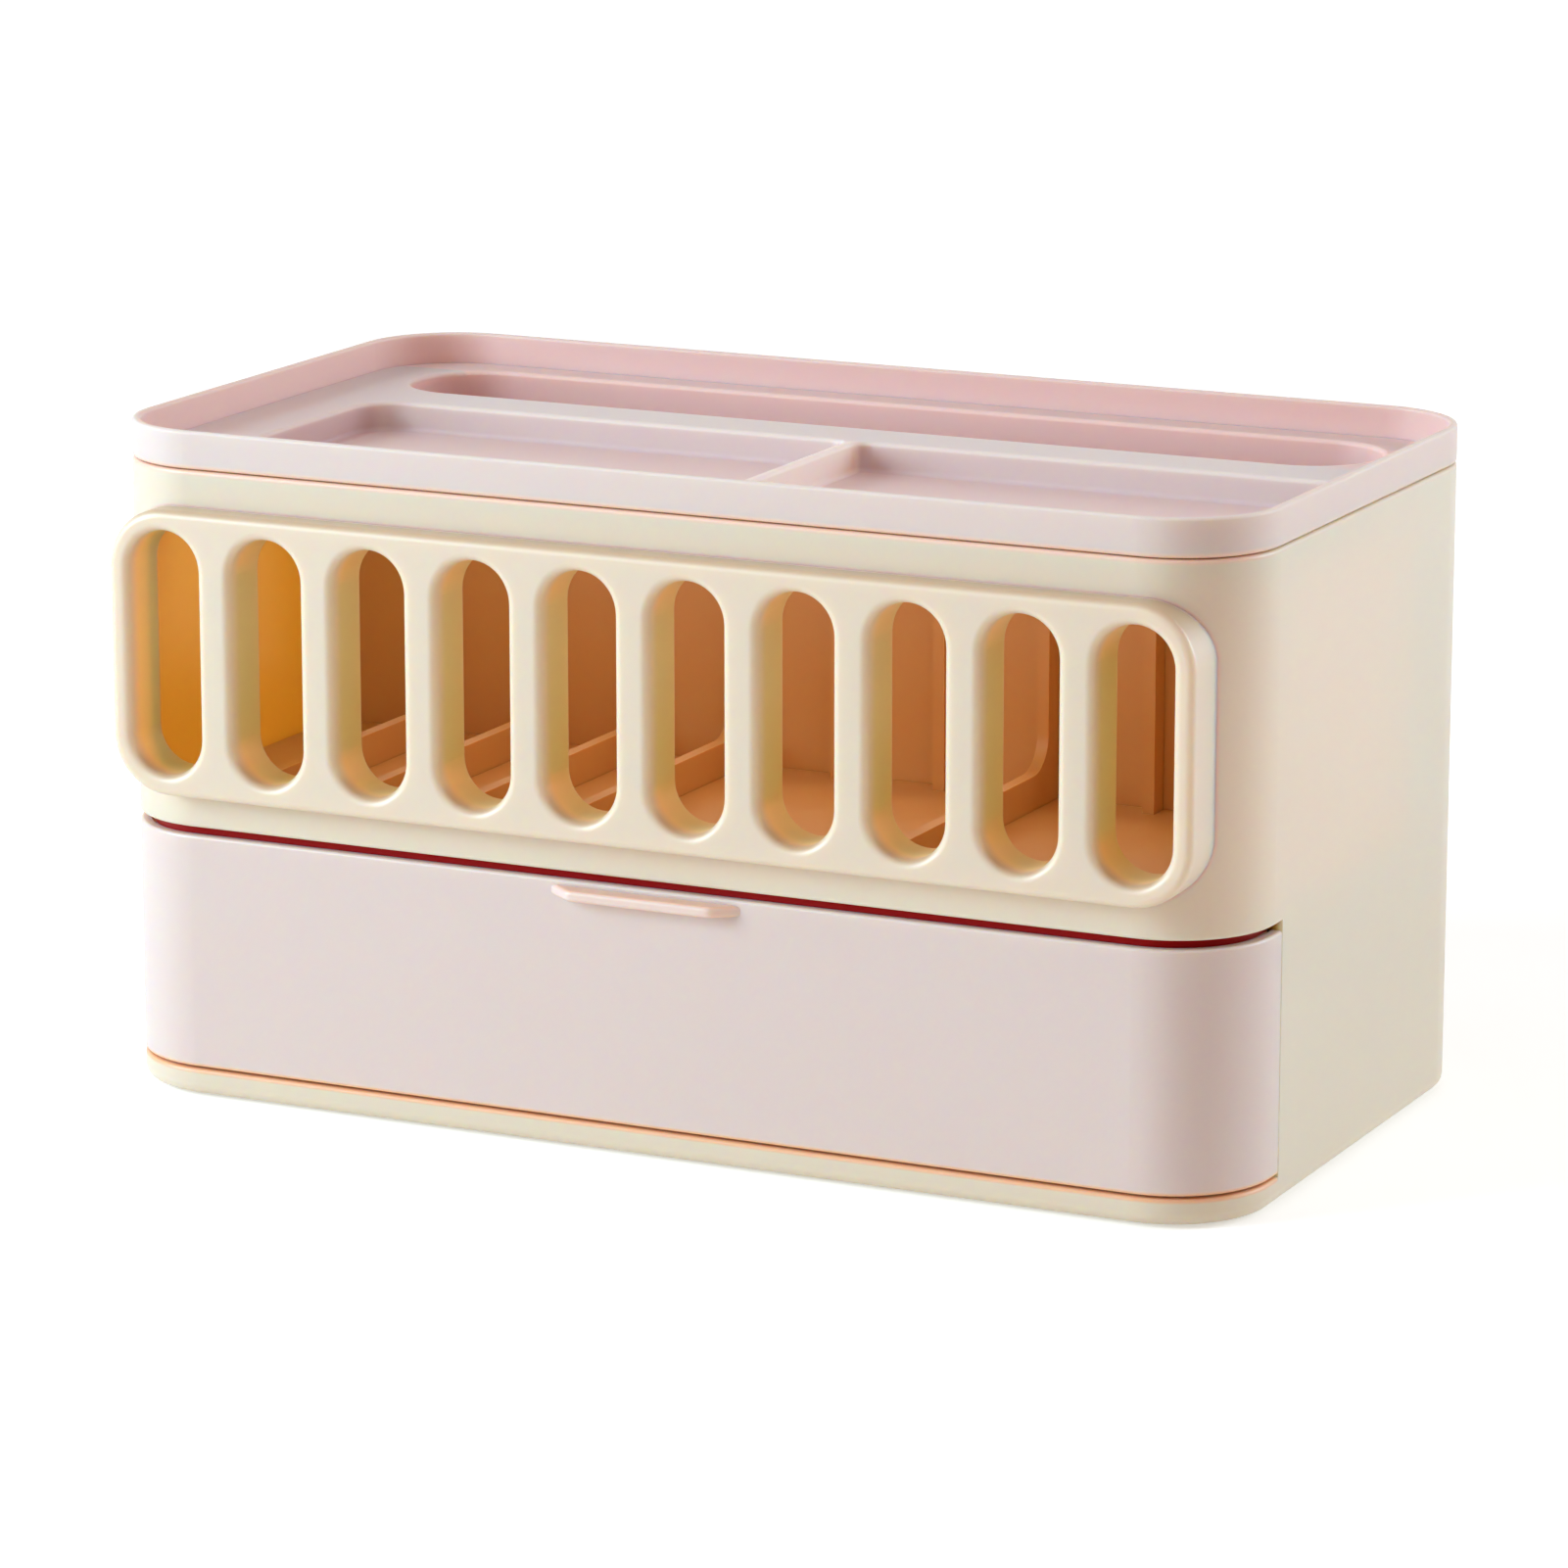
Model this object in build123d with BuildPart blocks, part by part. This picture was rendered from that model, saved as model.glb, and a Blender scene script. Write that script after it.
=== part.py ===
"""Desk organiser: a rounded case with a drawer, a row of upright slots and a lift-out top tray.

Millimetres. +X is to the right, +Y to the back and +Z up. The origin is on the desk, under the
middle of the whole object, slot panel included.
"""

import os

from build123d import *

# Case
case_width = 280.0
case_depth = 150.5
case_height = 146.5
deck_height = 82.8
case_corner = 23.4
wall = 2.4
bottom_thickness = 2.4
bottom_edge_radius = 3.0
seam_edge_radius = 0.8
ledge_width = 3.0
ledge_height = 3.0

# Feet
foot_diameter = 14.0
foot_proud = 0.6
foot_recess = 1.0
foot_inset = 24.0
foot_edge_radius = 0.4

# Slot panel
panel_proud = 6.7
panel_margin = 4.8
panel_skin = 2.4
panel_edge_radius = 1.8
slot_count = 10
slot_row_inset = 12.1
slot_bar = 8.2
slot_height = 56.6
slot_edge_radius = 1.9
sleeve_wall = 1.8
sleeve_depth = 13.4

# Compartments behind the slots
floor_thickness = 2.3
divider_thickness = 2.8
divider_low_height = 8.0
divider_tall_depth = 5.5
divider_scoop_radius = 8.0
divider_corner_radius = 2.0
groove_depth = 0.9
divider_from_sleeves = 1.0
back_thickness = 1.4
back_from_bin = 0.6
divider_below_tray = 9.5
long_dividers = ("divider_1", "divider_2", "divider_3", "divider_4", "divider_7")

# Drawer
sill_height = 6.3
drawer_wrap = 28.2
drawer_top_seam = 2.0
drawer_bottom_seam = 0.6
drawer_side_seam = 0.6
drawer_front_thickness = 2.4
drawer_edge_radius = 0.7
pull_root_width = 47.0
pull_tip_width = 35.0
pull_reach = 4.4
pull_thickness = 2.5
pull_below_top = 1.2
pull_edge_radius = 0.9
pull_corner_radius = 3.0
box_wall = 2.0
box_side_gap = 1.0
box_below_front = 3.7
box_back_gap = 5.0
box_floor_radius = 3.0
box_rim_radius = 0.6
lip_below_bay = 0.5
rail_width = 4.0
rail_inset = 40.0

# Top tray
rim_height = 9.0
rim_wall = 2.0
rim_edge_radius = 0.7
ledge_below_rim = 7.4
skirt_wall = 1.6
skirt_depth = 4.5
pocket_wall = 1.6
pocket_left_ledge = 18.8
pocket_right_ledge = 4.6
bin_end_ledge = 13.6
pocket_back_ledge = 8.0
pocket_front_ledge = 13.0
pocket_corner = 10.0
pocket_edge_radius = 1.0
pocket_floor_radius = 1.2
shallow_depth = 7.0
bin_width = 32.6
bar_width = 15.8
ridge_width = 2.6
ridge_corner = 4.0

# Clearances
panel_gap = 0.1
fit_gap = 0.2
run_gap = 0.3
skirt_gap = 0.5
bin_gap = 0.6
overrun = 1.0

# Places along the depth
case_middle = panel_proud / 2
case_front = case_middle - case_depth / 2
case_back = case_middle + case_depth / 2
panel_face = case_front - panel_proud
sleeve_end = panel_face + sleeve_depth
wrap_end = case_front + drawer_wrap

# Heights
case_base = foot_proud
inside_bottom = case_base + bottom_thickness
case_top = case_base + case_height
sill_top = case_base + sill_height
bay_top = case_top - deck_height
floor_top = bay_top + floor_thickness
slot_middle = (bay_top + case_top) / 2
tray_seat = case_top + run_gap
rim_top = case_top + rim_height
tray_ledge = rim_top - ledge_below_rim
tray_plate_middle = (tray_seat + tray_ledge) / 2
shallow_floor = tray_ledge - shallow_depth
bin_bottom = floor_top + bin_gap

# Outlines that follow from the sizes above
inner_width = case_width - 2 * wall
inner_depth = case_depth - 2 * wall
inner_corner = case_corner - wall
slot_row = case_width - 2 * slot_row_inset
slot_pitch = (slot_row + slot_bar) / slot_count
slot_width = slot_pitch - slot_bar
panel_width = slot_row + 2 * panel_margin
panel_height = slot_height + 2 * panel_margin
panel_corner = slot_width / 2 + panel_margin
tongue_width = slot_row + 2 * sleeve_wall
tongue_height = slot_height + 2 * sleeve_wall
tongue_corner = slot_width / 2 + sleeve_wall
bin_back = case_back - wall - pocket_back_ledge
bin_front = bin_back - bin_width
shallow_back = bin_front - bar_width
shallow_front = case_front + wall + pocket_front_ledge
pocket_width = inner_width - pocket_left_ledge - pocket_right_ledge
pocket_middle = ((pocket_left_ledge - pocket_right_ledge) / 2, (shallow_front + shallow_back) / 2)
bin_length = inner_width - 2 * bin_end_ledge
back_front = bin_front - pocket_wall - back_from_bin - back_thickness
divider_rear = back_front - fit_gap
divider_front = sleeve_end + divider_from_sleeves
tall_front = divider_rear - divider_tall_depth
divider_base = floor_top - groove_depth
low_top = floor_top + divider_low_height
tall_top = shallow_floor - pocket_wall - divider_below_tray
foot_places = [
    (side * (case_width / 2 - foot_inset), case_middle + end * (case_depth / 2 - foot_inset))
    for end in (-1, 1)
    for side in (-1, 1)
]

os.makedirs("parts", exist_ok=True)


def write(solid, name):
    """Labels a finished piece and writes it under its own name."""
    solid.label = name
    export_step(solid, f"parts/{name}.step")


# Case: four walls and a bottom, open above, with the drawer opening round both front corners
with BuildPart() as case_shell:
    with BuildSketch(Plane.XY.offset(case_base)):
        with Locations((0, case_middle)):
            RectangleRounded(case_width, case_depth, case_corner)
    extrude(amount=case_height)
    fillet(case_shell.faces().sort_by(Axis.Z)[0].edges(), bottom_edge_radius)
    fillet(case_shell.faces().sort_by(Axis.Z)[-1].edges(), seam_edge_radius)
    # Drawer opening round both front corners, its outer edges softened above and below
    with BuildSketch(Plane.XY.offset(sill_top)):
        with Locations((0, case_front)):
            Rectangle(case_width + 2 * overrun, 2 * drawer_wrap)
    extrude(amount=bay_top - sill_top, mode=Mode.SUBTRACT)
    bay_faces = case_shell.faces().filter_by(Axis.Z).filter_by_position(Axis.Z, sill_top, bay_top)
    fillet(bay_faces.edges().sort_by(Axis.Y)[:-2], seam_edge_radius)
    # The hollow inside, open above
    with BuildSketch(Plane.XY.offset(inside_bottom)):
        with Locations((0, case_middle)):
            RectangleRounded(inner_width, inner_depth, inner_corner)
    extrude(amount=case_height, mode=Mode.SUBTRACT)
    # Window that the panel's sleeves pass through, cut right through the rounded corners
    with BuildSketch(Plane.XZ.offset(-case_front)):
        with Locations((0, slot_middle)):
            RectangleRounded(tongue_width + 2 * fit_gap, tongue_height + 2 * fit_gap, tongue_corner)
    extrude(amount=-case_corner, both=True, mode=Mode.SUBTRACT)
    # Ledge along the sides and the back that carries the compartment floor
    with BuildSketch(Plane.XY.offset(bay_top - ledge_height)):
        with Locations((0, case_middle)):
            RectangleRounded(case_width - wall, case_depth - wall, case_corner - wall / 2)
            RectangleRounded(
                inner_width - 2 * ledge_width,
                inner_depth - 2 * ledge_width,
                inner_corner - ledge_width,
                mode=Mode.SUBTRACT,
            )
        with Locations((0, case_front)):
            Rectangle(case_width, 2 * (drawer_wrap + wall), mode=Mode.SUBTRACT)
    extrude(amount=ledge_height)
    # Two rails, level with the sill, that the drawer slides on
    with BuildSketch(Plane.XY.offset(inside_bottom)):
        with Locations((0, case_middle)):
            with GridLocations(inner_width - 2 * rail_inset, inner_depth, 2, 1):
                Rectangle(rail_width, inner_depth)
    extrude(amount=sill_top - inside_bottom)
    # Recesses under the corners for the feet
    with BuildSketch(Plane.XY.offset(case_base)):
        with Locations(*foot_places):
            Circle(foot_diameter / 2 + fit_gap)
    extrude(amount=foot_recess, mode=Mode.SUBTRACT)
write(case_shell.part, "case_shell")

# Slot panel: a raised face whose back follows the case, with one sleeve behind each slot
with BuildPart() as slot_panel:
    with BuildSketch(Plane.XZ.offset(-panel_face)):
        with Locations((0, slot_middle)):
            RectangleRounded(panel_width, panel_height, panel_corner)
    extrude(amount=-(panel_proud + case_corner))
    fillet(slot_panel.faces().sort_by(Axis.Y)[0].edges(), panel_edge_radius)
    with BuildSketch(Plane.XY.offset(slot_middle - panel_height)):
        with Locations((0, case_middle)):
            RectangleRounded(case_width + 2 * panel_gap, case_depth + 2 * panel_gap, case_corner + panel_gap)
    extrude(amount=2 * panel_height, mode=Mode.SUBTRACT)
    # Tongue behind the face that fills the window
    with BuildSketch(Plane.XZ.offset(-sleeve_end)):
        with Locations((0, slot_middle)):
            RectangleRounded(tongue_width, tongue_height, tongue_corner)
    extrude(amount=sleeve_depth - panel_skin)
    # Slots, rounded at the face
    with BuildSketch(Plane.XZ.offset(-panel_face)):
        with Locations((0, slot_middle)):
            with GridLocations(slot_pitch, slot_height, slot_count, 1):
                SlotOverall(slot_height, slot_width, rotation=90)
    extrude(amount=-sleeve_depth, both=True, mode=Mode.SUBTRACT)
    fillet(slot_panel.faces().sort_by(Axis.Y)[0].inner_wires().edges(), slot_edge_radius)
    # The bars between the sleeves are cored out from behind
    with BuildSketch(Plane.XZ.offset(-sleeve_end)):
        with Locations((0, slot_middle)):
            with GridLocations(slot_pitch, slot_height, slot_count - 1, 1):
                Rectangle(slot_bar - 2 * sleeve_wall, slot_height - slot_width)
    extrude(amount=sleeve_depth - panel_skin, mode=Mode.SUBTRACT)
write(slot_panel.part, "slot_panel")

# Compartment floor: a plate on the case's ledge, with a groove for each divider and one for the back
with BuildPart() as compartment_floor:
    with BuildSketch(Plane.XY.offset(bay_top)):
        with Locations((0, case_middle)):
            RectangleRounded(inner_width - 2 * fit_gap, inner_depth - 2 * fit_gap, inner_corner - fit_gap)
    extrude(amount=floor_thickness)
    with BuildSketch(Plane.XY.offset(divider_base)):
        with Locations((0, back_front + back_thickness / 2)):
            Rectangle(inner_width, back_thickness + 2 * fit_gap)
        for number in range(1, slot_count):
            foot_front = divider_front if f"divider_{number}" in long_dividers else tall_front
            groove_length = divider_rear - foot_front + 2 * fit_gap
            with Locations(((number - slot_count / 2) * slot_pitch, foot_front - fit_gap)):
                Rectangle(divider_thickness + 2 * fit_gap, groove_length, align=(Align.CENTER, Align.MIN))
    extrude(amount=groove_depth, mode=Mode.SUBTRACT)
write(compartment_floor.part, "compartment_floor")

# Compartment back: an upright plate that the dividers end at, with its upper corners rounded
with BuildPart() as compartment_back:
    with BuildSketch(Plane.XZ.offset(-back_front)) as profile:
        with Locations((0, divider_base)):
            Rectangle(inner_width - 2 * skirt_gap, tall_top - divider_base, align=(Align.CENTER, Align.MIN))
        fillet(profile.vertices().group_by(Axis.Y)[-1], divider_corner_radius)
    extrude(amount=-back_thickness)
write(compartment_back.part, "compartment_back")

# Dividers: all are tall at the back, and the long ones carry on low and scooped to the front
for number in range(1, slot_count):
    divider_name = f"divider_{number}"
    divider_middle = (number - slot_count / 2) * slot_pitch
    with BuildPart() as divider:
        with BuildSketch(Plane.YZ.offset(divider_middle - divider_thickness / 2)) as profile:
            with Locations((tall_front, divider_base)):
                Rectangle(divider_tall_depth, tall_top - divider_base, align=(Align.MIN, Align.MIN))
            if divider_name in long_dividers:
                with Locations((divider_front, divider_base)):
                    Rectangle(tall_front - divider_front, low_top - divider_base, align=(Align.MIN, Align.MIN))
                scoop = profile.vertices().sort_by_distance((tall_front, low_top))[0]
                fillet(scoop, divider_scoop_radius)
                nose = profile.vertices().sort_by_distance((divider_front, low_top))[0]
                fillet(nose, divider_corner_radius)
            fillet(profile.vertices().group_by(Axis.Y)[-1], divider_corner_radius)
        extrude(amount=divider_thickness)
    write(divider.part, divider_name)

# Feet: soft discs in the recesses under the case
foot_names = ("foot_front_left", "foot_front_right", "foot_back_left", "foot_back_right")
for foot_name, foot_place in zip(foot_names, foot_places):
    with BuildPart() as foot:
        with BuildSketch():
            with Locations(foot_place):
                Circle(foot_diameter / 2)
        extrude(amount=foot_proud + foot_recess)
        fillet(foot.faces().sort_by(Axis.Z)[0].edges(), foot_edge_radius)
    write(foot.part, foot_name)

# Drawer front: a skin that continues the case round both corners, with a finger pull
drawer_bottom = sill_top + drawer_bottom_seam
drawer_top = bay_top - drawer_top_seam
with BuildPart() as drawer_front:
    with BuildSketch(Plane.XY.offset(drawer_bottom)):
        with Locations((0, case_middle)):
            RectangleRounded(case_width, case_depth, case_corner)
            RectangleRounded(
                case_width - 2 * drawer_front_thickness,
                case_depth - 2 * drawer_front_thickness,
                case_corner - drawer_front_thickness,
                mode=Mode.SUBTRACT,
            )
        with Locations((0, wrap_end - drawer_side_seam)):
            Rectangle(case_width, case_depth, align=(Align.CENTER, Align.MIN), mode=Mode.SUBTRACT)
    extrude(amount=drawer_top - drawer_bottom)
    ends = drawer_front.faces().filter_by(Axis.Z)
    fillet(ends.edges().filter_by(GeomType.LINE).sort_by(Axis.Y)[:2], drawer_edge_radius)
    with BuildSketch(Plane.XY.offset(drawer_top - pull_below_top - pull_thickness)):
        with BuildLine():
            Polyline(
                (-pull_root_width / 2, case_front + drawer_front_thickness / 2),
                (-pull_root_width / 2, case_front),
                (-pull_tip_width / 2, case_front - pull_reach),
                (pull_tip_width / 2, case_front - pull_reach),
                (pull_root_width / 2, case_front),
                (pull_root_width / 2, case_front + drawer_front_thickness / 2),
                close=True,
            )
        make_face()
    extrude(amount=pull_thickness)
    tip = drawer_front.faces().sort_by(Axis.Y)[0]
    fillet(tip.edges().filter_by(Axis.Z), pull_corner_radius)
    tip = drawer_front.faces().sort_by(Axis.Y)[0]
    fillet(tip.edges().filter_by(Axis.X), pull_edge_radius)
write(drawer_front.part, "drawer_front")

# Drawer box: an open tray behind the front
box_width = inner_width - 2 * box_side_gap
box_front = case_front + drawer_front_thickness
box_back = case_back - wall - box_back_gap
box_bottom = sill_top + run_gap
box_top = drawer_top - box_below_front
with BuildPart() as drawer_box:
    with BuildSketch(Plane.XY.offset(box_bottom)):
        with Locations((0, (box_front + box_back) / 2)):
            RectangleRounded(box_width, box_back - box_front, inner_corner)
    extrude(amount=box_top - box_bottom)
    with BuildSketch(Plane.XY.offset(box_bottom + box_wall)):
        with Locations((0, (box_front + box_back) / 2)):
            RectangleRounded(
                box_width - 2 * box_wall,
                box_back - box_front - 2 * box_wall,
                inner_corner - box_wall,
            )
    extrude(amount=box_top - box_bottom, mode=Mode.SUBTRACT)
    fillet(drawer_box.faces().filter_by(Axis.Z).sort_by(Axis.Z)[1].edges(), box_floor_radius)
    fillet(drawer_box.faces().sort_by(Axis.Z)[-1].edges(), box_rim_radius)
    # The front wall rises behind the seam over the drawer front
    with BuildSketch(Plane.XY.offset(box_top - box_wall)):
        with Locations((0, (box_front + box_back) / 2)):
            RectangleRounded(box_width, box_back - box_front, inner_corner)
            RectangleRounded(
                box_width - 2 * box_wall,
                box_back - box_front - 2 * box_wall,
                inner_corner - box_wall,
                mode=Mode.SUBTRACT,
            )
        with Locations((0, wrap_end - drawer_side_seam)):
            Rectangle(case_width, case_depth, align=(Align.CENTER, Align.MIN), mode=Mode.SUBTRACT)
    extrude(amount=bay_top - lip_below_bay - box_top + box_wall)
write(drawer_box.part, "drawer_box")

# Top tray: a rim flush with the case, two shallow pockets in front and a deep bin behind
with BuildPart() as top_tray:
    with BuildSketch(Plane.XY.offset(tray_seat)):
        with Locations((0, case_middle)):
            RectangleRounded(case_width, case_depth, case_corner)
    extrude(amount=rim_top - tray_seat)
    fillet(top_tray.faces().sort_by(Axis.Z)[0].edges(), seam_edge_radius)
    with BuildSketch(Plane.XY.offset(tray_ledge)):
        with Locations((0, case_middle)):
            RectangleRounded(case_width - 2 * rim_wall, case_depth - 2 * rim_wall, case_corner - rim_wall)
    extrude(amount=rim_height, mode=Mode.SUBTRACT)
    fillet(top_tray.faces().sort_by(Axis.Z)[-1].edges(), rim_edge_radius)
    # Skirt that drops inside the case walls
    with BuildSketch(Plane.XY.offset(tray_seat - skirt_depth)):
        with Locations((0, case_middle)):
            RectangleRounded(
                inner_width - 2 * skirt_gap,
                inner_depth - 2 * skirt_gap,
                inner_corner - skirt_gap,
            )
            RectangleRounded(
                inner_width - 2 * (skirt_gap + skirt_wall),
                inner_depth - 2 * (skirt_gap + skirt_wall),
                inner_corner - skirt_gap - skirt_wall,
                mode=Mode.SUBTRACT,
            )
    extrude(amount=tray_plate_middle - tray_seat + skirt_depth)
    # Bodies of the shallow pockets and of the bin, hanging below the ledge
    with BuildSketch(Plane.XY.offset(shallow_floor - pocket_wall)):
        with Locations(pocket_middle):
            RectangleRounded(
                pocket_width + 2 * pocket_wall,
                shallow_back - shallow_front + 2 * pocket_wall,
                pocket_corner + pocket_wall,
            )
    extrude(amount=tray_plate_middle - shallow_floor + pocket_wall)
    with BuildSketch(Plane.XY.offset(bin_bottom)):
        with Locations((0, (bin_front + bin_back) / 2)):
            SlotOverall(bin_length + 2 * pocket_wall, bin_width + 2 * pocket_wall)
    extrude(amount=tray_plate_middle - bin_bottom)
    # The hollows, with rounded floors and lips
    with BuildSketch(Plane.XY.offset(shallow_floor)) as pockets:
        with Locations(pocket_middle):
            RectangleRounded(pocket_width, shallow_back - shallow_front, pocket_corner)
            Rectangle(ridge_width, shallow_back - shallow_front, mode=Mode.SUBTRACT)
        fillet(pockets.vertices().sort_by_distance(pocket_middle)[:4], ridge_corner)
    extrude(amount=shallow_depth, mode=Mode.SUBTRACT)
    with BuildSketch(Plane.XY.offset(bin_bottom + pocket_wall)):
        with Locations((0, (bin_front + bin_back) / 2)):
            SlotOverall(bin_length, bin_width)
    extrude(amount=tray_ledge - bin_bottom - pocket_wall, mode=Mode.SUBTRACT)
    ledge_face = top_tray.faces().filter_by(Axis.Z).filter_by_position(Axis.Z, tray_ledge, tray_ledge)[0]
    fillet(ledge_face.inner_wires().edges(), pocket_edge_radius)
    for floor_height in (shallow_floor, bin_bottom + pocket_wall):
        pocket_floors = top_tray.faces().filter_by(Axis.Z).filter_by_position(Axis.Z, floor_height, floor_height)
        fillet(pocket_floors.edges(), pocket_floor_radius)
write(top_tray.part, "top_tray")
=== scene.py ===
"""Desk drawer unit: finishes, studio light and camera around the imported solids. Metres."""

import math
from collections import namedtuple

import bpy
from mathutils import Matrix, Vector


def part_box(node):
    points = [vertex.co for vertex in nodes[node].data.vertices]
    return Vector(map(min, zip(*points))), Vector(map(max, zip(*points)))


MM = 0.001

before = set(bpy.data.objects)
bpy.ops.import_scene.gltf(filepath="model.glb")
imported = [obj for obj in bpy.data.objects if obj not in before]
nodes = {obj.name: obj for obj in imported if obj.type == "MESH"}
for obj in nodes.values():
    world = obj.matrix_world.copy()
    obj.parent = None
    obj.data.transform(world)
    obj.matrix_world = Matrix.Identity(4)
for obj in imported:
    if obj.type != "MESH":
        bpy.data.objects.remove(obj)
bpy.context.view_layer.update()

# Places read from the imported solids
case_low, case_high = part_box("case_shell")
panel_low, panel_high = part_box("slot_panel")
front_low, front_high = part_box("drawer_front")
tray_low, tray_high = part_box("top_tray")
case_middle = (case_low + case_high) / 2
panel_middle = (panel_low + panel_high) / 2

# Sizes of the solids that the finishes follow
CASE_CORNER = 23.4 * MM
CASE_WALL = 2.4 * MM
CASE_BOTTOM = 2.4 * MM
SILL_TOP = 6.9 * MM
DRAWER_WRAP = 28.2 * MM
PANEL_CORNER = 13.9 * MM
PANEL_MARGIN = 4.8 * MM
SLOT_EDGE = 1.9 * MM
TRAY_GAP = 0.3 * MM
RIM_WALL = 2.0 * MM
LEDGE_BELOW_RIM = 7.4 * MM
POCKET_WALL = 1.6 * MM
POCKET_CORNER = 10.0 * MM
POCKET_DEPTH = 7.0 * MM
POCKET_LEFT_LEDGE = 18.8 * MM
POCKET_RIGHT_LEDGE = 4.6 * MM
POCKET_FRONT_LEDGE = 13.0 * MM
BAR_WIDTH = 15.8 * MM
BIN_WIDTH = 32.6 * MM
BIN_END_LEDGE = 13.6 * MM
BIN_BACK_LEDGE = 8.0 * MM
RIDGE_REACH = 3.0 * MM

# The tray's levels, and the hollows that are sunk into it
Hollow = namedtuple("Hollow", "left right front back corner floor")
tray_seat = case_high.z + TRAY_GAP
tray_ledge = tray_high.z - LEDGE_BELOW_RIM
inner_left = case_low.x + CASE_WALL
inner_right = case_high.x - CASE_WALL
bin_back = case_high.y - CASE_WALL - BIN_BACK_LEDGE
bin_front = bin_back - BIN_WIDTH
tray_bin = Hollow(
    left=inner_left + BIN_END_LEDGE,
    right=inner_right - BIN_END_LEDGE,
    front=bin_front,
    back=bin_back,
    corner=BIN_WIDTH / 2,
    floor=tray_low.z + POCKET_WALL,
)
pockets = Hollow(
    left=inner_left + POCKET_LEFT_LEDGE,
    right=inner_right - POCKET_RIGHT_LEDGE,
    front=case_low.y + CASE_WALL + POCKET_FRONT_LEDGE,
    back=bin_front - BAR_WIDTH,
    corner=POCKET_CORNER,
    floor=tray_ledge - POCKET_DEPTH,
)
ridge_middle = (pockets.left + pockets.right) / 2

# The two axes that an outline is drawn across
SEEN_FROM_ABOVE = (1, 1, 0)
SEEN_FROM_FRONT = (1, 0, 1)

# Reaches of the tints, most of which are painted shade: where each is 0 and where it is 1, measured from the
# edge that it follows
ALONG_FRONT = (CASE_CORNER, 0.5 * CASE_CORNER)
INNER_FACES = (0.3 * CASE_WALL, 0.9 * CASE_WALL)
ABOVE_BOTTOM = (CASE_BOTTOM, 2 * CASE_BOTTOM)
UNDER_TRAY = (-1.5 * MM, -0.4 * MM)
OVER_SILL = (-1.2 * MM, -0.5 * MM)
UNDER_DRAWER = (2.0 * MM, 1.0 * MM)
ALONG_DRAWER = (DRAWER_WRAP, DRAWER_WRAP - 1.0 * MM)
ROUND_PANEL = (-0.8 * MM, -0.1 * MM)
FRONT_HALF = (0.0, -1.0 * MM)
WITHIN_MARGIN = (0.5 * PANEL_MARGIN, 0.7 * PANEL_MARGIN)
BEHIND_SLOT_EDGE = (0.7 * SLOT_EDGE, 3.0 * SLOT_EDGE)
NEAR_CASE = (-1.4 * MM, -0.4 * MM)
PANEL_RIM = (2.0 * MM, 1.0 * MM)
DRAWER_LOWER_EDGE = (1.1 * MM, 0.3 * MM)
DRAWER_LIP = (-0.6 * MM, -0.2 * MM)
AHEAD_OF_FRONT = (-0.2 * MM, -0.6 * MM)
ABOVE_SEAT = (0.3 * MM, 1.4 * MM)
BELOW_LEDGE = (0.0, -2.0 * MM)
RIM_INSIDE = (1.5 * RIM_WALL, 1.2 * RIM_WALL)
RIM_OUTSIDE = (0.7 * RIM_WALL, 0.4 * RIM_WALL)
OUTER_BAND = (1.5 * RIM_WALL, 0.7 * RIM_WALL)
HOLLOW_WALLS = (-0.75 * POCKET_WALL, -0.25 * POCKET_WALL)
BIN_BACK_EDGE = (-4.0 * MM, -3.0 * MM)
BIN_RIGHT_END = (-10.0 * MM, 0.0)
BIN_FRONT_EDGE = (-4.0 * MM, 4.0 * MM)
LEFT_LEDGE = (24.0 * MM, -10.0 * MM)
LEFT_WALL = (4.0 * MM, 1.0 * MM)
RIDGE_SIDES = (RIDGE_REACH, 0.7 * RIDGE_REACH)
RIDGE_FRONT_END = (0.0, 2.0 * MM)
RIDGE_BACK_END = (0.0, -2.0 * MM)

# Reaches along an axis of the surface's direction
TURNED_UP = (0.3, 0.9)
TURNED_OFF_FRONT = (-0.9, -0.5)

# Share of the tray seam's painted shade that is left along the sides and the back
SIDE_TINT_SHARE = 0.4

# Gloss, mottling and grain of the satin plastic
ROUGHNESS = 0.36
TRAY_ROUGHNESS = 0.50
PAD_ROUGHNESS = 0.75
GLOSS_PATCH = 9.0 * MM
GLOSS_SPREAD = 0.06
MOTTLE_PATCH = 60.0 * MM
MOTTLE_SHARE = 0.03
GRAIN = 0.5 * MM
PAD_GRAIN = 0.8 * MM
GRAIN_HEIGHT = 0.05 * MM
GRAIN_STRENGTH = 0.10
PLASTIC_IOR = 1.58

# How far light soaks into the plastic, and the shares of that for red, green and blue
SOAK = 4.5 * MM
DEEP_SOAK = 10.0 * MM
SHORT_SOAK = 1.0 * MM
SOAK_SHARES = (1.0, 0.62, 0.30)

# Linear colours. Apart from CREAM, PINK, PETAL, BLUSH, PAD_GREY, MOTTLE and WHITE, these are painted light
# and shade.
CREAM = (0.775, 0.700, 0.560)
PAINTED_AMBER_SHADE = (0.700, 0.485, 0.085)
PAINTED_SLEEVE_SHADE = (0.985, 0.680, 0.285)
PAINTED_HONEY_SHADE = (0.780, 0.435, 0.150)
PAINTED_TOP_SHADE = (0.610, 0.480, 0.320)
PINK = (0.765, 0.672, 0.632)
PETAL = (0.770, 0.655, 0.614)
BLUSH = (0.690, 0.645, 0.622)
PAINTED_POCKET_SHADE = (0.720, 0.590, 0.570)
PAINTED_SHADE_PINK = (0.690, 0.556, 0.532)
PAINTED_WALL_SHADE = (0.620, 0.435, 0.420)
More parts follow.
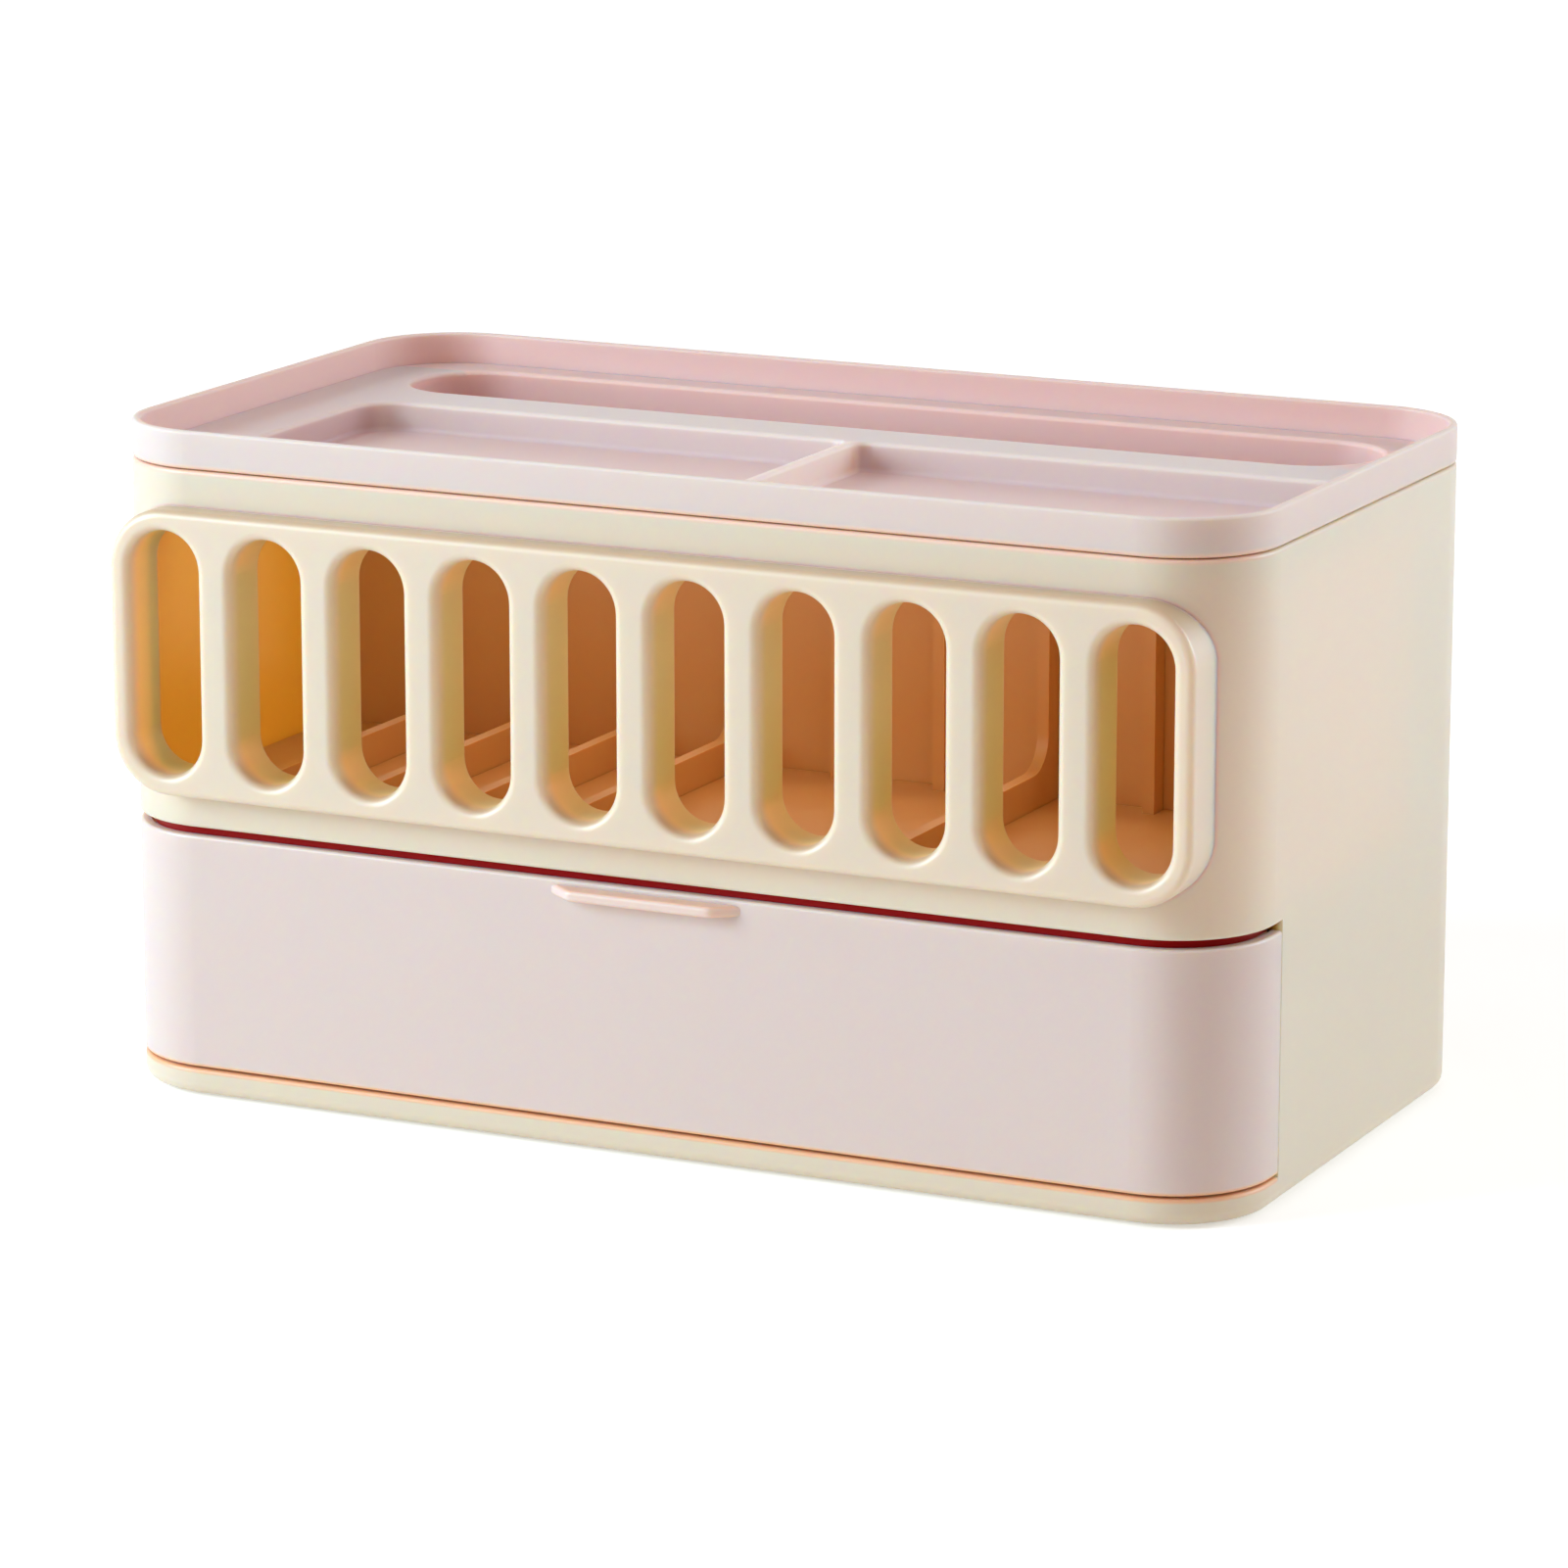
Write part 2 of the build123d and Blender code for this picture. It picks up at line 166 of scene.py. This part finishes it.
PAINTED_RIDGE_LIGHT = (0.860, 0.760, 0.730)
PAINTED_BIN_SHADE = (0.950, 0.570, 0.530)
PAINTED_PEACH_SHADE = (0.900, 0.650, 0.530)
PAINTED_ORANGE_SHADE = (0.880, 0.530, 0.310)
PAINTED_SEAM_RED = (0.360, 0.004, 0.006)
PAD_GREY = (0.560, 0.530, 0.470)
MOTTLE = (0.620, 0.500, 0.420)
WHITE = (1.0, 1.0, 1.0)

# Floor, with the distances from the object between which its glow fades from near to far
FLOOR_SIZE = 16.0
FLOOR_WHITE = (0.80, 0.80, 0.80)
FLOOR_BOUNCE = (0.13, 0.09, 0.04)
NEAR_GLOW = (0.45, 0.48, 0.47)
FAR_GLOW = (0.70, 0.80, 0.84)
GLOW_REACH = (0.4, 2.0)

# Studio light
FILL_COLOUR = (1.0, 0.67, 0.55)
FILL_STRENGTH = 0.43
BACKDROP_STRENGTH = 1.0
KEY_COLOUR = (0.68, 0.87, 1.0)
SOFTBOX_SIZE = 0.9
SOAK_COLOUR = (1.0, 0.80, 0.60)
SOAK_WIDTH = 250.0 * MM
SOAK_BACK_PLACE = (0.0, -45.0 * MM, 126.5 * MM)
SOAK_FRONT_PLACE = (0.0, 22.0 * MM, 105.0 * MM)

# Camera
CAMERA_PLACE = (0.6371, -1.3192, 0.4164)
CAMERA_PITCH = 0.2315
CAMERA_YAW = 0.4503
CAMERA_LENS = 150.02
SENSOR = 36.0

# Colour sockets of a mix node
MIX_FACTOR, MIX_FIRST, MIX_SECOND, MIX_RESULT = 0, 6, 7, 2


class Graph:
    """Short calls that build the nodes of one material."""

    def __init__(self, name):
        self.material = bpy.data.materials.new(name)
        self.material.use_nodes = True
        self.tree = self.material.node_tree
        self.shader = self.tree.nodes["Principled BSDF"]
        self.place = self.add("ShaderNodeTexCoord").outputs["Object"]

    def add(self, kind, **settings):
        node = self.tree.nodes.new(kind)
        for key, value in settings.items():
            setattr(node, key, value)
        return node

    def feed(self, socket, value):
        """Links an output to a socket, or sets a plain value on it."""
        if isinstance(value, bpy.types.NodeSocket):
            self.tree.links.new(value, socket)
        else:
            socket.default_value = value

    def shade(self, **inputs):
        """Feeds inputs of the shader, whose names are written with underscores here."""
        for name, value in inputs.items():
            self.feed(self.shader.inputs[name.replace("_", " ")], value)

    def math(self, operation, *values):
        node = self.add("ShaderNodeMath", operation=operation)
        for socket, value in zip(node.inputs, values):
            self.feed(socket, value)
        return node.outputs[0]

    def both(self, first, second):
        return self.math("MULTIPLY", first, second)

    def either(self, first, second):
        return self.math("MAXIMUM", first, second)

    def least(self, first, second):
        return self.math("MINIMUM", first, second)

    def vector(self, operation, *values):
        node = self.add("ShaderNodeVectorMath", operation=operation)
        for socket, value in zip(node.inputs, values):
            self.feed(socket, value)
        return node.outputs["Value" if operation == "LENGTH" else "Vector"]

    def part_of(self, vector, axis):
        split = self.add("ShaderNodeSeparateXYZ")
        self.feed(split.inputs[0], vector)
        return split.outputs[axis]

    def axis(self, name):
        """Where a point lies along an axis."""
        return self.part_of(self.place, name)

    def facing(self, name):
        """How far the surface is turned along an axis, from -1 to 1."""
        return self.part_of(self.add("ShaderNodeTexCoord").outputs["Normal"], name)

    def fade(self, value, edge, reach, kind="SMOOTHSTEP"):
        """Goes from 0 to 1 over a reach that is measured from an edge."""
        node = self.add("ShaderNodeMapRange", interpolation_type=kind)
        self.feed(node.inputs["Value"], value)
        self.feed(node.inputs["From Min"], edge + reach[0])
        self.feed(node.inputs["From Max"], edge + reach[1])
        return node.outputs["Result"]

    def spread(self, value, low, high):
        """A 0 to 1 value spread over another range."""
        node = self.add("ShaderNodeMapRange")
        self.feed(node.inputs["Value"], value)
        self.feed(node.inputs["To Min"], low)
        self.feed(node.inputs["To Max"], high)
        return node.outputs["Result"]

    def noise(self, size, detail=3.0):
        """Noise whose lumps are about one size across."""
        node = self.add("ShaderNodeTexNoise")
        self.feed(node.inputs["Vector"], self.place)
        self.feed(node.inputs["Scale"], 1 / size)
        self.feed(node.inputs["Detail"], detail)
        return node.outputs["Fac"]

    def mix(self, factor, first, second):
        """The first colour where the factor is 0, and the second where it is 1."""
        node = self.add("ShaderNodeMix", data_type="RGBA")
        for index, value in ((MIX_FACTOR, factor), (MIX_FIRST, first), (MIX_SECOND, second)):
            self.feed(node.inputs[index], (*value, 1) if isinstance(value, tuple) else value)
        return node.outputs[MIX_RESULT]

    def depth_in_outline(self, middle, size, corner, axes):
        """How far a point is inside a rounded rectangle that is drawn across two axes."""
        centred = self.vector("SUBTRACT", self.place, middle)
        flat = self.vector("MULTIPLY", self.vector("ABSOLUTE", centred), axes)
        reach = [axis * (length / 2 - corner) for axis, length in zip(axes, size)]
        past = self.vector("SUBTRACT", flat, reach)
        outside = self.vector("LENGTH", self.vector("MAXIMUM", past, (0, 0, 0)))
        first, second = [self.part_of(past, name) for name, used in zip("XYZ", axes) if used]
        inside = self.least(self.either(first, second), 0.0)
        return self.math("SUBTRACT", corner, self.math("ADD", outside, inside))


def depth_in_case(graph):
    return graph.depth_in_outline(case_middle, case_high - case_low, CASE_CORNER, SEEN_FROM_ABOVE)


def depth_in_panel(graph):
    return graph.depth_in_outline(panel_middle, panel_high - panel_low, PANEL_CORNER, SEEN_FROM_FRONT)


def along_front(graph):
    """1 along the front, and 0 behind the rounded corners."""
    return graph.fade(graph.axis("Y"), case_low.y, ALONG_FRONT)


def moulded(graph, colour, soak=SOAK, roughness=ROUGHNESS, grain=GRAIN):
    """Satin moulded plastic: faint mottling, uneven gloss and a fine tool texture."""
    mottling = graph.spread(graph.noise(MOTTLE_PATCH), 0.0, MOTTLE_SHARE)
    patches = graph.noise(GLOSS_PATCH, detail=4.0)
    bump = graph.add("ShaderNodeBump")
    graph.feed(bump.inputs["Strength"], GRAIN_STRENGTH)
    graph.feed(bump.inputs["Distance"], GRAIN_HEIGHT)
    graph.feed(bump.inputs["Height"], graph.noise(grain))
    graph.shade(
        Base_Color=graph.mix(mottling, colour, MOTTLE),
        Roughness=graph.spread(patches, roughness - GLOSS_SPREAD, roughness + GLOSS_SPREAD),
        Normal=bump.outputs["Normal"],
        IOR=PLASTIC_IOR,
        Subsurface_Weight=1.0,
        Subsurface_Radius=SOAK_SHARES,
        Subsurface_Scale=soak,
    )
    return graph.material


def sill_seam_on_case(graph):
    """1 on the sill's upper edge, under the drawer front."""
    height = graph.axis("Z")
    on_sill = graph.both(graph.fade(height, SILL_TOP, OVER_SILL), graph.fade(height, SILL_TOP, UNDER_DRAWER))
    return graph.both(on_sill, graph.fade(graph.axis("Y"), case_low.y, ALONG_DRAWER))


def panel_seam_on_case(graph):
    """1 on the case's front in the ring round the panel and behind it."""
    behind_panel = graph.fade(depth_in_panel(graph), 0.0, ROUND_PANEL)
    return graph.both(behind_panel, graph.fade(graph.axis("Y"), case_middle.y, FRONT_HALF))


def case_finish():
    """Cream outside, with painted shade: amber on every inner face, and peach and orange at the seams."""
    graph = Graph("cream_case")
    height = graph.axis("Z")
    inner = graph.fade(depth_in_case(graph), 0.0, INNER_FACES)
    inside = graph.both(inner, graph.fade(height, case_low.z, ABOVE_BOTTOM))
    tray_seam = graph.fade(height, case_high.z, UNDER_TRAY)
    sill_seam = sill_seam_on_case(graph)
    front = along_front(graph)
    # Painted shade: peach at the tray seam and round the panel, amber on the inner faces, orange at the sill
    # seam
    colour = graph.mix(graph.both(tray_seam, graph.spread(front, SIDE_TINT_SHARE, 1.0)), CREAM, PAINTED_PEACH_SHADE)
    colour = graph.mix(panel_seam_on_case(graph), colour, PAINTED_PEACH_SHADE)
    colour = graph.mix(inside, colour, PAINTED_AMBER_SHADE)
    colour = graph.mix(sill_seam, colour, PAINTED_ORANGE_SHADE)
    seams = graph.either(graph.both(tray_seam, front), sill_seam)
    walls = graph.spread(inside, SOAK, DEEP_SOAK)
    return moulded(graph, colour, graph.least(walls, graph.spread(seams, DEEP_SOAK, SHORT_SOAK)))


def panel_finish():
    """Cream face, with painted shade: tan on the upper side, peach on the rear edge, and amber going into
    the sleeves.
    """
    graph = Graph("cream_panel")
    depth = depth_in_panel(graph)
    behind_edge = graph.fade(graph.axis("Y"), panel_low.y, BEHIND_SLOT_EDGE)
    sleeve = graph.both(graph.fade(depth, 0.0, WITHIN_MARGIN), behind_edge)
    near_case = graph.fade(depth_in_case(graph), 0.0, NEAR_CASE)
    rear_edge_shade = graph.both(near_case, graph.fade(depth, 0.0, PANEL_RIM))
    # Painted shade: tan on the faces turned up, peach on the rear edge by the case, amber into the sleeves
    colour = graph.mix(graph.fade(graph.facing("Z"), 0.0, TURNED_UP), CREAM, PAINTED_TOP_SHADE)
    colour = graph.mix(rear_edge_shade, colour, PAINTED_PEACH_SHADE)
    colour = graph.mix(sleeve, colour, PAINTED_SLEEVE_SHADE)
    return moulded(graph, colour, graph.spread(sleeve, SOAK, DEEP_SOAK))


def inner_finish():
    """Compartment's floor, back plate and dividers, in honey that paints in the warm shade behind the slots.
    """
    return moulded(Graph("painted_shade_honey"), PAINTED_HONEY_SHADE, SHORT_SOAK)


def front_finish():
    """Pink skin with painted shade: orange at the lower edge and peach on the upper side of its pull."""
    graph = Graph("pink_front")
    edge = graph.fade(graph.axis("Z"), front_low.z, DRAWER_LOWER_EDGE)
    ahead = graph.fade(graph.axis("Y"), case_low.y, AHEAD_OF_FRONT)
    on_pull = graph.both(ahead, graph.fade(graph.facing("Y"), 0.0, TURNED_OFF_FRONT))
    # Painted shade: orange along the lower edge, peach on the pull's faces turned away from the front
    colour = graph.mix(on_pull, graph.mix(edge, PETAL, PAINTED_ORANGE_SHADE), PAINTED_PEACH_SHADE)
    return moulded(graph, colour, graph.spread(graph.either(edge, on_pull), SOAK, SHORT_SOAK))


def drawer_box_finish():
    """Pink box whose front wall ends in a lip above the drawer front, painted deep red with a red reflection
    for the shade in the seam.
    """
    graph = Graph("pink_drawer_box")
    lip = graph.fade(graph.axis("Z"), front_high.z, DRAWER_LIP)
    # Painted shade: the lip and its reflection are tinted deep red to darken the seam above the drawer
    graph.shade(Specular_Tint=graph.mix(lip, WHITE, PAINTED_SEAM_RED))
    return moulded(graph, graph.mix(lip, PINK, PAINTED_SEAM_RED))


def ledge_colour(graph):
    """Pink, with painted shade: darker towards the left end, and rose behind the bin and at its right end.
    """
    left_end = graph.fade(graph.axis("X"), pockets.left, LEFT_LEDGE)
    behind_bin = graph.fade(graph.axis("Y"), tray_bin.back, BIN_BACK_EDGE)
    right_end = graph.fade(graph.axis("X"), tray_bin.right, BIN_RIGHT_END)
    beside_bin = graph.both(right_end, graph.fade(graph.axis("Y"), tray_bin.front, BIN_FRONT_EDGE))
    # Painted shade: darker pink towards the left end, rose behind and beside the bin
    return graph.mix(graph.either(behind_bin, beside_bin), graph.mix(left_end, PINK, PAINTED_SHADE_PINK), PAINTED_BIN_SHADE)


def pocket_shade(graph):
    """Painted shade in the pockets, deeper at the left wall."""
    return graph.mix(graph.fade(graph.axis("X"), pockets.left, LEFT_WALL), PAINTED_POCKET_SHADE, PAINTED_WALL_SHADE)


def within_hollow(graph, hollow):
    """1 within a hollow of the tray and on its walls."""
    middle = ((hollow.left + hollow.right) / 2, (hollow.front + hollow.back) / 2, 0)
    size = (hollow.right - hollow.left, hollow.back - hollow.front, 0)
    inset = graph.depth_in_outline(middle, size, hollow.corner, SEEN_FROM_ABOVE)
    return graph.fade(inset, 0.0, HOLLOW_WALLS)


def on_ridge(graph):
    """1 on the ridge between the two pockets."""
    from_ridge = graph.math("ABSOLUTE", graph.math("SUBTRACT", graph.axis("X"), ridge_middle))
    behind_front = graph.fade(graph.axis("Y"), pockets.front, RIDGE_FRONT_END)
    before_back = graph.fade(graph.axis("Y"), pockets.back, RIDGE_BACK_END)
    return graph.both(graph.fade(from_ridge, 0.0, RIDGE_SIDES), graph.both(behind_front, before_back))


def tray_finish():
    """Pale outside, with painted shade in the rim, the pockets and down in the bin, painted light on the
    ridge, and painted peach shade at the lower edge.
    """
    graph = Graph("pink_tray")
    height = graph.axis("Z")
    depth = depth_in_case(graph)
    upper = graph.fade(height, tray_seat, ABOVE_SEAT)
    below_ledge = graph.fade(height, tray_ledge, BELOW_LEDGE)
    # Painted shade on the rim's inner faces, in the pockets and in the bin, and painted light on the ridge
    colour = graph.mix(graph.fade(depth, 0.0, RIM_INSIDE), ledge_colour(graph), PAINTED_SHADE_PINK)
    colour = graph.mix(graph.fade(depth, 0.0, RIM_OUTSIDE), colour, BLUSH)
    for hollow, tone in ((pockets, pocket_shade(graph)), (tray_bin, PAINTED_BIN_SHADE)):
        within = within_hollow(graph, hollow)
        over_floor = graph.fade(height, hollow.floor, HOLLOW_WALLS)
        upper = graph.either(upper, graph.both(within, over_floor))
        colour = graph.mix(graph.both(within, below_ledge), colour, tone)
    colour = graph.mix(on_ridge(graph), colour, PAINTED_RIDGE_LIGHT)
    band = graph.fade(depth, 0.0, OUTER_BAND)
    front = along_front(graph)
    # Painted peach shade along the tray's lower edge, by the seam
    underside = graph.mix(graph.both(band, graph.spread(front, SIDE_TINT_SHARE, 1.0)), PINK, PAINTED_PEACH_SHADE)
    lower_edge = graph.both(graph.both(band, front), graph.math("SUBTRACT", 1.0, upper))
    walls = graph.spread(upper, DEEP_SOAK, SOAK)
    soak = graph.least(walls, graph.spread(lower_edge, DEEP_SOAK, SHORT_SOAK))
    return moulded(graph, graph.mix(upper, underside, colour), soak, TRAY_ROUGHNESS)


def pad_finish():
    """Dull grey foot pads."""
    return moulded(Graph("soft_pad"), PAD_GREY, roughness=PAD_ROUGHNESS, grain=PAD_GRAIN)


def dress():
    """Gives every solid its finish."""
    inside = inner_finish()
    pad = pad_finish()
    finishes = {
        "case_shell": case_finish(),
        "slot_panel": panel_finish(),
        "drawer_front": front_finish(),
        "drawer_box": drawer_box_finish(),
        "top_tray": tray_finish(),
    }
    for name, node in nodes.items():
        if name.startswith(("compartment", "divider")):
            finishes[name] = inside
        if name.startswith("foot"):
            finishes[name] = pad
        node.data.materials.clear()
        node.data.materials.append(finishes[name])


def seen_directly(tree):
    """1 for rays by which the stage is seen, and 0 for rays that only carry its light."""
    light_path = tree.nodes.new("ShaderNodeLightPath")
    total = light_path.outputs["Is Camera Ray"]
    for output in ("Is Glossy Ray", "Is Transmission Ray"):
        larger = tree.nodes.new("ShaderNodeMath")
        larger.operation = "MAXIMUM"
        tree.links.new(total, larger.inputs[0])
        tree.links.new(light_path.outputs[output], larger.inputs[1])
        total = larger.outputs[0]
    return total


def light_world():
    """White where it is seen, and a warm even fill on everything else."""
    world = bpy.data.worlds.new("studio")
    bpy.context.scene.world = world
    world.use_nodes = True
    tree = world.node_tree
    fill = tree.nodes["Background"]
    fill.inputs["Color"].default_value = (*FILL_COLOUR, 1)
    fill.inputs["Strength"].default_value = FILL_STRENGTH
    backdrop = tree.nodes.new("ShaderNodeBackground")
    backdrop.inputs["Color"].default_value = (*WHITE, 1)
    backdrop.inputs["Strength"].default_value = BACKDROP_STRENGTH
    choice = tree.nodes.new("ShaderNodeMixShader")
    tree.links.new(seen_directly(tree), choice.inputs["Fac"])
    tree.links.new(fill.outputs[0], choice.inputs[1])
    tree.links.new(backdrop.outputs[0], choice.inputs[2])
    tree.links.new(choice.outputs[0], tree.nodes["World Output"].inputs["Surface"])


def lay_floor():
    """Pale floor that glows where it is seen, and keeps the object's shadow."""
    bpy.ops.mesh.primitive_plane_add(size=FLOOR_SIZE)
    floor = bpy.context.object
    floor.name = "floor"
    graph = Graph("floor_white")
    far = graph.fade(graph.vector("LENGTH", graph.place), 0.0, GLOW_REACH, kind="LINEAR")
    seen_glow = graph.mix(far, NEAR_GLOW, FAR_GLOW)
    graph.shade(
        Base_Color=(*FLOOR_WHITE, 1),
        Roughness=1.0,
        Specular_IOR_Level=0.0,
        Emission_Color=graph.mix(seen_directly(graph.tree), FLOOR_BOUNCE, seen_glow),
        Emission_Strength=1.0,
    )
    floor.data.materials.append(graph.material)


def area_lamp(name, place, turn, lift, width, height, power, colour):
    """Lamp that faces the front, then is turned about Z and tipped down. Both angles are in degrees."""
    lamp = bpy.data.lights.new(name, "AREA")
    lamp.shape = "RECTANGLE"
    lamp.size = width
    lamp.size_y = height
    lamp.energy = power
    lamp.color = colour
    box = bpy.data.objects.new(name, lamp)
    bpy.context.scene.collection.objects.link(box)
    box.location = place
    box.rotation_euler = (math.pi / 2 - math.radians(lift), 0, math.radians(turn) + math.pi)
    box.visible_camera = False


def softbox(name, azimuth, elevation, distance, power):
    """Softbox aimed at the object. Azimuth 0 is in front of it, and grows towards +X."""
    turn, lift = math.radians(azimuth), math.radians(elevation)
    place = (
        case_middle.x + distance * math.cos(lift) * math.sin(turn),
        case_middle.y - distance * math.cos(lift) * math.cos(turn),
        case_middle.z + distance * math.sin(lift),
    )
    area_lamp(name, place, azimuth + 180, elevation, SOFTBOX_SIZE, SOFTBOX_SIZE, power, KEY_COLOUR)


def soak_lamp(name, place, turn, lift, height, power):
    """Stands in for light that soaks through the tray and the walls into the space behind the slots."""
    area_lamp(name, place, turn, lift, SOAK_WIDTH, height, power, SOAK_COLOUR)


def place_camera():
    camera = bpy.data.cameras.new("camera")
    camera.lens = CAMERA_LENS
    camera.sensor_width = SENSOR
    holder = bpy.data.objects.new("camera", camera)
    bpy.context.scene.collection.objects.link(holder)
    holder.location = CAMERA_PLACE
    holder.rotation_euler = (math.pi / 2 - CAMERA_PITCH, 0, CAMERA_YAW)
    bpy.context.scene.camera = holder


dress()
light_world()
lay_floor()
softbox("left_softbox", azimuth=-50, elevation=20, distance=1.8, power=32.0)
softbox("right_softbox", azimuth=125, elevation=20, distance=1.6, power=14.0)
softbox("top_softbox", azimuth=0, elevation=85, distance=1.3, power=2.7)
soak_lamp("soak_back", SOAK_BACK_PLACE, turn=180, lift=20, height=24.0 * MM, power=0.026)
soak_lamp("soak_front", SOAK_FRONT_PLACE, turn=0, lift=0, height=50.0 * MM, power=0.021)
place_camera()
bpy.context.scene.view_settings.view_transform = "Standard"
